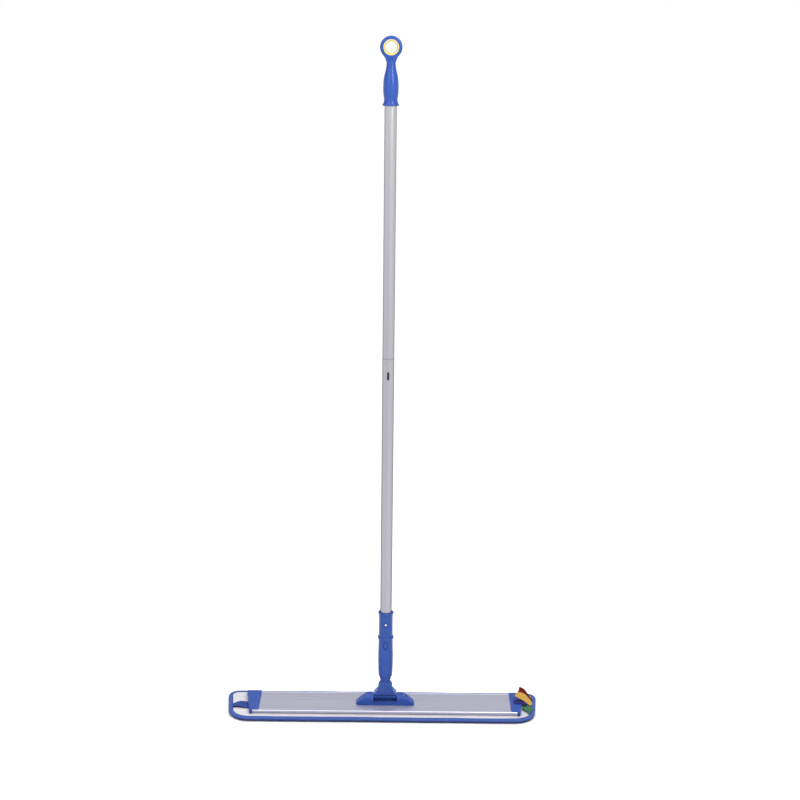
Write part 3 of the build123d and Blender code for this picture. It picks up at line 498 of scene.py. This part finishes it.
def inflate(piece, free):
    """Cloth simulation of a padded piece: its free points swell, by SWELL_LIMIT at most."""
    start = np.array([v.co for v in piece.data.vertices])
    pinned = piece.vertex_groups.new(name="pinned")
    pinned.add([i for i in range(len(start)) if not free[i]], 1.0, "REPLACE")
    cloth = piece.modifiers.new("cloth", "CLOTH")
    cloth.settings.quality = 6
    cloth.settings.mass = 0.3
    cloth.settings.use_pressure = True
    cloth.settings.uniform_pressure_force = SWELL_PRESSURE
    cloth.settings.effector_weights.gravity = 0
    cloth.settings.vertex_group_mass = "pinned"
    cloth.point_cache.frame_start = 1
    cloth.point_cache.frame_end = SWELL_STEPS
    scene = bpy.context.scene
    for step in range(1, SWELL_STEPS + 1):
        scene.frame_set(step)
    graph = bpy.context.evaluated_depsgraph_get()
    swollen = piece.evaluated_get(graph).to_mesh()
    moved = np.array([v.co for v in swollen.vertices]) - start
    piece.evaluated_get(graph).to_mesh_clear()
    scene.frame_set(1)
    piece.modifiers.remove(cloth)
    piece.vertex_groups.remove(pinned)
    length = np.maximum(np.linalg.norm(moved, axis=1, keepdims=True), 1e-12)
    moved *= np.minimum(1.0, SWELL_LIMIT / length)
    for vertex, place in zip(piece.data.vertices, start + moved):
        vertex.co = place


def make_pad_cushion():
    """The pad's backing and felt core: one padded form that swells between the tape and the plate."""
    lift = 0.15 * MM
    top_insets = [58, 50, 43, 37, 32, 28.5, 25.5, 22.5, 20, 17.5, 15, 12.5, 10, 7.5, 5.2, 3.6]
    rings = [level_ring(i * MM, BACKING_TOP - lift) for i in top_insets]
    rim = [(2.9, 8.1), (2.7, 6.4), (2.9, 4.6), (3.8, 3.7)]
    rings += [level_ring(i * MM, z * MM) for i, z in rim]
    rings += [level_ring(i * MM, PILE_TOP + lift) for i in (7.5, 15.0, 30.0, 58.0)]
    points, faces = nested_body(rings)
    piece = make_piece("pad_cushion", points, faces, "backing_fabric", "pad")
    top = points[:, 2] > BACKING_TOP - 2 * lift
    inside_tape = np.zeros(len(points), bool)
    count = len(rings[0])
    inside_tape[: count * top_insets.index(7.5)] = True
    free = np.array([t and i and not under_frame(p) for t, i, p in zip(top, inside_tape, points)])
    inflate(piece, free)
    for vertex, loose in zip(piece.data.vertices, free):
        if loose:
            ripple = noise.noise(vertex.co * BROAD_RIPPLE) + 0.5 * noise.noise(vertex.co * FINE_RIPPLE)
            vertex.co.z += RIPPLE_HEIGHT * ripple
    smooth(piece)
    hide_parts("pad_backing", "pad_core")


PILE_INSET = 9.0            # mm from the pad's rim to the side of the pile
PILE_STEP, PILE_RINGS = 1.6, 31
TUFT_HEIGHT = 1.5 * MM


def make_pile():
    """The cleaning face: a mat of short loops that stands on the floor."""
    insets = [PILE_INSET + PILE_STEP * k for k in range(PILE_RINGS)]
    rings = []
    for inset in insets[::-1]:
        ring = level_ring(inset * MM, 0.0)
        tufts = np.abs(waves(ring, 2.6 * MM, 3.1)) + 0.6 * np.abs(waves(ring, 1.3 * MM, 7.7))
        ring[:, 2] = 0.02 * MM + TUFT_HEIGHT * tufts
        rings.append(ring)
    side, outward = rounded_outline(PILE_INSET * MM)
    for bulge, height in ((0.5, 1.0), (0.7, 2.0), (0.4, 2.9)):
        shift = (bulge * MM + 0.5 * MM * waves(side, 2.2 * MM, height))[:, None]
        rings.append(np.column_stack([side + outward * shift, np.full(len(side), height * MM)]))
    rings.append(level_ring(9.4 * MM, PILE_TOP - 0.05 * MM))
    rings.append(level_ring(40.0 * MM, PILE_TOP - 0.05 * MM))
    points, faces = nested_body(rings[::-1])
    piece = make_piece("pad_pile_loops", points, faces, "pile_fabric", "pad")
    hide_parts("pad_pile")


# ================================================================ edge tape

# Section of the tape from its upper edge round the rim to its lower edge: inset and height in mm.
TAPE_SECTION = [
    (8.6, 9.2), (7.6, 9.75), (5.6, 10.15), (3.6, 10.05), (2.0, 9.5), (0.9, 8.4), (0.25, 6.9),
    (0.2, 5.3), (0.8, 3.8), (1.9, 2.8), (3.4, 2.3), (5.5, 2.15), (8.4, 2.2),
]
TAPE_THICK = 0.7 * MM
END_BULGE = 1.2             # mm that the tape stands out further at the pad's ends
PUFF_WIDTH = 8.0            # mm from the rim over which the tape's top swells or sinks


def tape_rows():
    """The tape's sections round the pad, slightly uneven in width and height."""
    plan, outward = rounded_outline(0.0)
    sway = 0.9 * waves(plan, 75 * MM, 1.5) + 0.3 * waves(plan, 24 * MM, 4.5)
    dips = 0.9 * waves(plan, 95 * MM, 6.5)
    puff = 0.5 * waves(plan, 48 * MM, 9.5) + 0.3 * waves(plan, 17 * MM, 2.5)
    rows = []
    for place, way, s, p, dip in zip(plan, outward, sway, puff, dips):
        row = []
        for inset, height in TAPE_SECTION:
            edge = inset / TAPE_SECTION[0][0]
            shift = (inset - END_BULGE * abs(way[0]) * (1 - edge) - s * (0.4 + edge)) * MM
            if height > 5:
                lift = 0.45 * p * math.sin(math.pi * min(inset, PUFF_WIDTH) / PUFF_WIDTH)
            else:
                lift = dip * (1 - edge)
            row.append((*(place - way * shift), (height + lift) * MM))
        rows.append(row)
    return np.array(rows), outward


def make_tape():
    """The tape itself, with the rows of points that its stitches follow."""
    rows, _ = tape_rows()
    points, faces, flat = cloth_shell(rows, TAPE_THICK, closed=True)
    piece = make_piece("edge_tape", points, faces, "binding_tape", "pad", flat)
    smooth(piece)
    return piece, rows


BEAD_SIDES = 6
BEAD_FLATNESS = 0.8
TAPE_STITCH_STEP = 3.4 * MM
TAPE_STITCH = (2.5 * MM, 0.28 * MM)    # length and thread radius
RIBBON_STITCH = (1.4 * MM, 0.22 * MM)


def thread_run(centres, ways, normals, length, radius):
    """Short raised stitches: a small bead at each centre, long in its way."""
    points, faces = [], []
    # place along the bead and girth there, as shares of its length and radius
    profile = [(-0.5, 0.25), (-0.38, 0.8), (0.0, 1.0), (0.38, 0.8), (0.5, 0.25)]
    for centre, way, normal in zip(centres, ways, normals):
        side = np.cross(way, normal)
        first = len(points)
        for along, girth in profile:
            for k in range(BEAD_SIDES):
                angle = k * 2 * math.pi / BEAD_SIDES
                spoke = math.cos(angle) * side + BEAD_FLATNESS * math.sin(angle) * normal
                points.append(centre + way * along * length + spoke * girth * radius)
        for ring in range(len(profile) - 1):
            for k in range(BEAD_SIDES):
                a = first + ring * BEAD_SIDES + k
                b = first + ring * BEAD_SIDES + (k + 1) % BEAD_SIDES
                faces.append([a, b, b + BEAD_SIDES, a + BEAD_SIDES])
        faces.append([first + k for k in range(BEAD_SIDES)][::-1])
        last = first + BEAD_SIDES * (len(profile) - 1)
        faces.append([last + k for k in range(BEAD_SIDES)])
    return points, faces


def evenly_spaced(line, step):
    """Points about a step apart along a closed line, with the way it runs at each."""
    closed = np.vstack([line, line[:1]])
    along = np.concatenate([[0], np.cumsum(np.linalg.norm(np.diff(closed, axis=0), axis=1))])
    count = int(along[-1] / step)
    at = np.arange(count) * along[-1] / count
    spots = np.stack([np.interp(at, along, closed[:, k]) for k in range(3)], axis=1)
    ways = np.roll(spots, -1, axis=0) - np.roll(spots, 1, axis=0)
    return spots, ways / np.linalg.norm(ways, axis=1, keepdims=True)


def make_tape_stitches(rows):
    """One row of stitches near each folded edge of the tape."""
    points, faces = [], []
    for column, up in ((1, 1.0), (len(TAPE_SECTION) - 2, -1.0)):
        line = rows[:, column].copy()
        line[:, 2] += up * TAPE_THICK / 2
        spots, ways = evenly_spaced(line, TAPE_STITCH_STEP)
        normals = np.tile([0.0, 0.0, up], (len(spots), 1))
        more_points, more_faces = thread_run(spots, ways, normals, *TAPE_STITCH)
        faces += [[i + len(points) for i in face] for face in more_faces]
        points += more_points
    return make_piece("tape_stitches", points, faces, "blue_thread", "pad")


def make_bound_edge():
    """The tape folded round the pad's rim, stitched along both edges.

    Its flat width is what TAPE_SECTION unrolls to."""
    tape, rows = make_tape()
    stitches = make_tape_stitches(rows)
    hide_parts("pad_binding")


# ================================================================ strap and tags


CURVE_STEPS = 16            # fine points between two given ones
STRAP_THICK = 1.1 * MM
TAG_THICK = 0.7 * MM
TAG_FLUTTER = 0.8 * MM


def smooth_line(points, count):
    """Evenly spaced points on the smooth curve through the given ones."""
    ends = [2 * Vector(points[0]) - Vector(points[1])], [2 * Vector(points[-1]) - Vector(points[-2])]
    knots = ends[0] + [Vector(p) for p in points] + ends[1]
    fine = []
    for a, b, c, d in zip(knots, knots[1:], knots[2:], knots[3:]):
        for k in range(CURVE_STEPS):
            t = k / CURVE_STEPS
            fine.append(
                b + (c - a) * t / 2 + (2 * a - 5 * b + 4 * c - d) * t**2 / 2
                + (3 * b - a - 3 * c + d) * t**3 / 2
            )
    fine = np.array(fine + [knots[-2]])
    along = np.concatenate([[0], np.cumsum(np.linalg.norm(np.diff(fine, axis=0), axis=1))])
    at = np.linspace(0, along[-1], count)
    return np.stack([np.interp(at, along, fine[:, k]) for k in range(3)], axis=1)


def ribbon_grid(front, back, rows, columns=12, cup=0.0, flutter=0.0, seed=0.0):
    """Grid of a ribbon between a front and a back edge curve, slightly cupped and uneven."""
    first, second = smooth_line(front, rows), smooth_line(back, rows)
    grid = np.zeros((rows, columns, 3))
    for r in range(rows):
        t = r / (rows - 1)
        for c in range(columns):
            s = c / (columns - 1)
            grid[r, c] = first[r] * (1 - s) + second[r] * s
            grid[r, c, 2] += cup * math.sin(math.pi * s) * math.sin(math.pi * t) ** 0.5
            grid[r, c, 2] += flutter * t * noise.noise(Vector((s * 1.6, t * 2.2, seed)))
    return grid


def stitch_rows(grid, spots, thickness):
    """Stitches across a ribbon at the given places along it."""
    centres, ways, normals = [], [], []
    surface = grid_normals(grid, False)
    for spot in spots:
        row = round(spot * (len(grid) - 1))
        for column in range(1, grid.shape[1] - 1):
            way = grid[row, column + 1] - grid[row, column - 1]
            normal = surface[row, column] * (1 if surface[row, column][2] > 0 else -1)
            centres.append(grid[row, column] + normal * thickness / 2)
            ways.append(way / np.linalg.norm(way))
            normals.append(normal)
    return thread_run(centres, ways, normals, *RIBBON_STITCH)


def make_ribbon(name, node, material, grid, thickness, spots):
    """A stitched ribbon on the pad in place of a CAD node, and its stitches."""
    points, faces, places = cloth_shell(grid, thickness)
    piece = make_piece(name, points, faces, material, "pad", places)
    smooth(piece)
    stitch_points, stitch_faces = stitch_rows(grid, spots, thickness)
    stitches = make_piece(name + "_stitches", stitch_points, stitch_faces, material, "pad")
    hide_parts(node)
    return piece, stitches


def make_pull_strap():
    """Webbing from under the tape's edge, arched, and flat again under the left end cap."""
    front = [
        (-326, -20.5, 9.9), (-320, -21.2, 13.0), (-311, -22, 13.6), (-300, -23.5, 10.9), (-286, -24, 9.5),
    ]
    back = [(-326, -3.5, 9.9), (-319, -3.0, 13.6), (-309, 0, 15.2), (-298, 4.5, 12.2), (-286, 7, 9.5)]
    grid = ribbon_grid(in_metres(front), in_metres(back), rows=40, columns=14, cup=0.4 * MM)
    make_ribbon(
        "pull_strap_webbing", "pull_strap", "strap_webbing", grid, STRAP_THICK,
        (0.06, 0.11),
    )


# Each tag: its front edge and its back edge in mm, from the tape to its free end, and the size its surface
# unrolls to.
TAGS = {
    "tag_green": (
        [(306, -43.5, 11.8), (303, -38, 13.4), (298, -28, 13.0), (292.6, -18.5, 11.2)],
        [(317.5, -17.5, 11.8), (312, -11, 13.8), (305, -3, 13.6), (298.5, 1.5, 11.6)],
        (22, 28),
    ),
    "tag_blue": (
        [(313, -7, 11.8), (304, -8, 13.2), (300.5, -8.5, 18.6), (289, -9, 19.6), (275, -8, 19.2)],
        [(316, 12, 11.8), (307, 11, 13.2), (302.5, 11, 18.6), (291, 11.5, 19.6), (276.4, 9.4, 19.2)],
        (19.5, 42),
    ),
    "tag_yellow": (
        [
            (313, -3.5, 11.3), (304.8, -2.5, 16.6), (296.7, -2.5, 22.8), (286.9, -2.5, 29),
            (276.9, -2.5, 34.2),
        ],
        [
            (316.5, 7, 11.3), (314.5, 14, 14.4), (309, 19, 20), (302.4, 21, 26.5), (293.4, 21, 32.4),
            (285.4, 21, 34.4),
        ],
        (21.5, 44.5),
    ),
    "tag_red": (
        [(315, 12, 11.2), (308, 12, 13.2), (302, 12, 18.5), (294.5, 12, 24.5), (284.5, 12, 30.5)],
        [
            (318.6, 30, 11.4), (315, 30, 15.5), (310, 30, 21.5), (304.5, 30, 30.2), (298.5, 30, 37),
            (289.2, 30, 41.8),
        ],
        (20, 40.5),
    ),
}


def in_metres(points):
    """Points given in millimetres."""
    return [tuple(v * MM for v in point) for point in points]


def make_tags():
    """The fan of colour tags at the right end."""
    for name, (front, back, flat) in TAGS.items():
        seed = len(name) * 1.7
        grid = ribbon_grid(in_metres(front), in_metres(back), rows=30, flutter=TAG_FLUTTER, seed=seed)
        pieces = make_ribbon(
            name + "_ribbon", name, name + "_cloth", grid, TAG_THICK, (0.05,)
        )
        for piece in pieces:
            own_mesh(piece)


# ================================================================ camera, light and floor


WALL_LIGHT, OVERHEAD_LIGHT = 0.36, 1.6
OVERHEAD_BAND = (0.45, 0.8)  # the sky brightens between these heights, 0 at the horizon and 1 overhead
HORIZON_BAND = (0.05, 0.12)  # white below the first of these, back to the walls' light by the second
LIGHT_TARGET = (0, 0, 1.3)
AREA_LIGHTS = {             # place, width and height, and watts
    "key": ((0.7, -1.1, 1.9), (0.35, 1.0), 17),
    "fill": ((-0.8, -1.2, 1.9), (0.6, 1.0), 8),
}
FLOOR_HALF = 60.0
CAMERA_PLACE = (0.0142, -3.1942, 1.5096)
CAMERA_TURN = (14.473, 0.6535, -0.186)  # degrees down, of roll and of yaw
LENS, SENSOR = 72.72, 36


def make_camera():
    """The camera at the photograph's viewing angle."""
    camera = bpy.data.objects.new("camera", bpy.data.cameras.new("camera"))
    camera.data.lens = LENS
    camera.data.sensor_width = SENSOR
    pitch, roll, yaw = (math.radians(a) for a in CAMERA_TURN)
    turn = (
        Matrix.Rotation(yaw, 4, "Z")
        @ Matrix.Rotation(math.pi / 2 - pitch, 4, "X")
        @ Matrix.Rotation(roll, 4, "Z")
    )
    camera.matrix_world = Matrix.Translation(CAMERA_PLACE) @ turn
    bpy.context.scene.collection.objects.link(camera)
    bpy.context.scene.camera = camera


def make_area_light(name, place, size, energy):
    """A rectangular light aimed near the top of the pole."""
    light = bpy.data.objects.new(name, bpy.data.lights.new(name, "AREA"))
    light.data.shape = "RECTANGLE"
    light.data.size, light.data.size_y = size
    light.data.energy = energy
    light.location = place
    light.rotation_euler = (Vector(LIGHT_TARGET) - Vector(place)).to_track_quat("-Z", "Y").to_euler()
    bpy.context.scene.collection.objects.link(light)


def make_stage():
    """A plain white floor, a white surround and soft light."""
    mesh = bpy.data.meshes.new("floor")
    corners = [(x * FLOOR_HALF, y * FLOOR_HALF, 0) for x, y in ((-1, -1), (1, -1), (1, 1), (-1, 1))]
    mesh.from_pydata(corners, [], [(0, 1, 2, 3)])
    floor = bpy.data.objects.new("floor", mesh)
    material, tree, shader = start_material("floor", 0.9, Specular_IOR_Level=0.1)
    cloud = noise_value(tree, coordinates(tree, (1, 1, 1)), 0.8)
    tree.links.new(
        blend_colours(tree, cloud, (0.95, 0.95, 0.95), (0.97, 0.97, 0.97)), shader.inputs["Base Color"]
    )
    mesh.materials.append(material)
    bpy.context.scene.collection.objects.link(floor)
    bpy.context.scene.world = make_sky()
    bpy.context.scene.view_settings.view_transform = "Standard"
    for name, (place, size, energy) in AREA_LIGHTS.items():
        make_area_light(name, place, size, energy)


def make_sky():
    """A studio surround: bright overhead, dimmer round the walls, white at the horizon."""
    world = bpy.data.worlds.new("studio")
    world.use_nodes = True
    tree = world.node_tree
    background = tree.nodes["Background"]
    split = tree.nodes.new("ShaderNodeSeparateXYZ")
    tree.links.new(coordinates(tree, (1, 1, 1), "Generated"), split.inputs["Vector"])
    overhead = remap(tree, split.outputs["Z"], WALL_LIGHT, OVERHEAD_LIGHT, *OVERHEAD_BAND)
    horizon = remap(tree, split.outputs["Z"], 1.0, 0.0, *HORIZON_BAND)
    tree.links.new(maths(tree, "MAXIMUM", overhead, horizon), background.inputs["Strength"])
    background.inputs["Color"].default_value = (1.0, 1.0, 1.0, 1.0)
    return world


make_camera()
make_stage()
dress_cad_nodes()
make_pad_cushion()
make_pile()
make_bound_edge()
make_pull_strap()
make_tags()
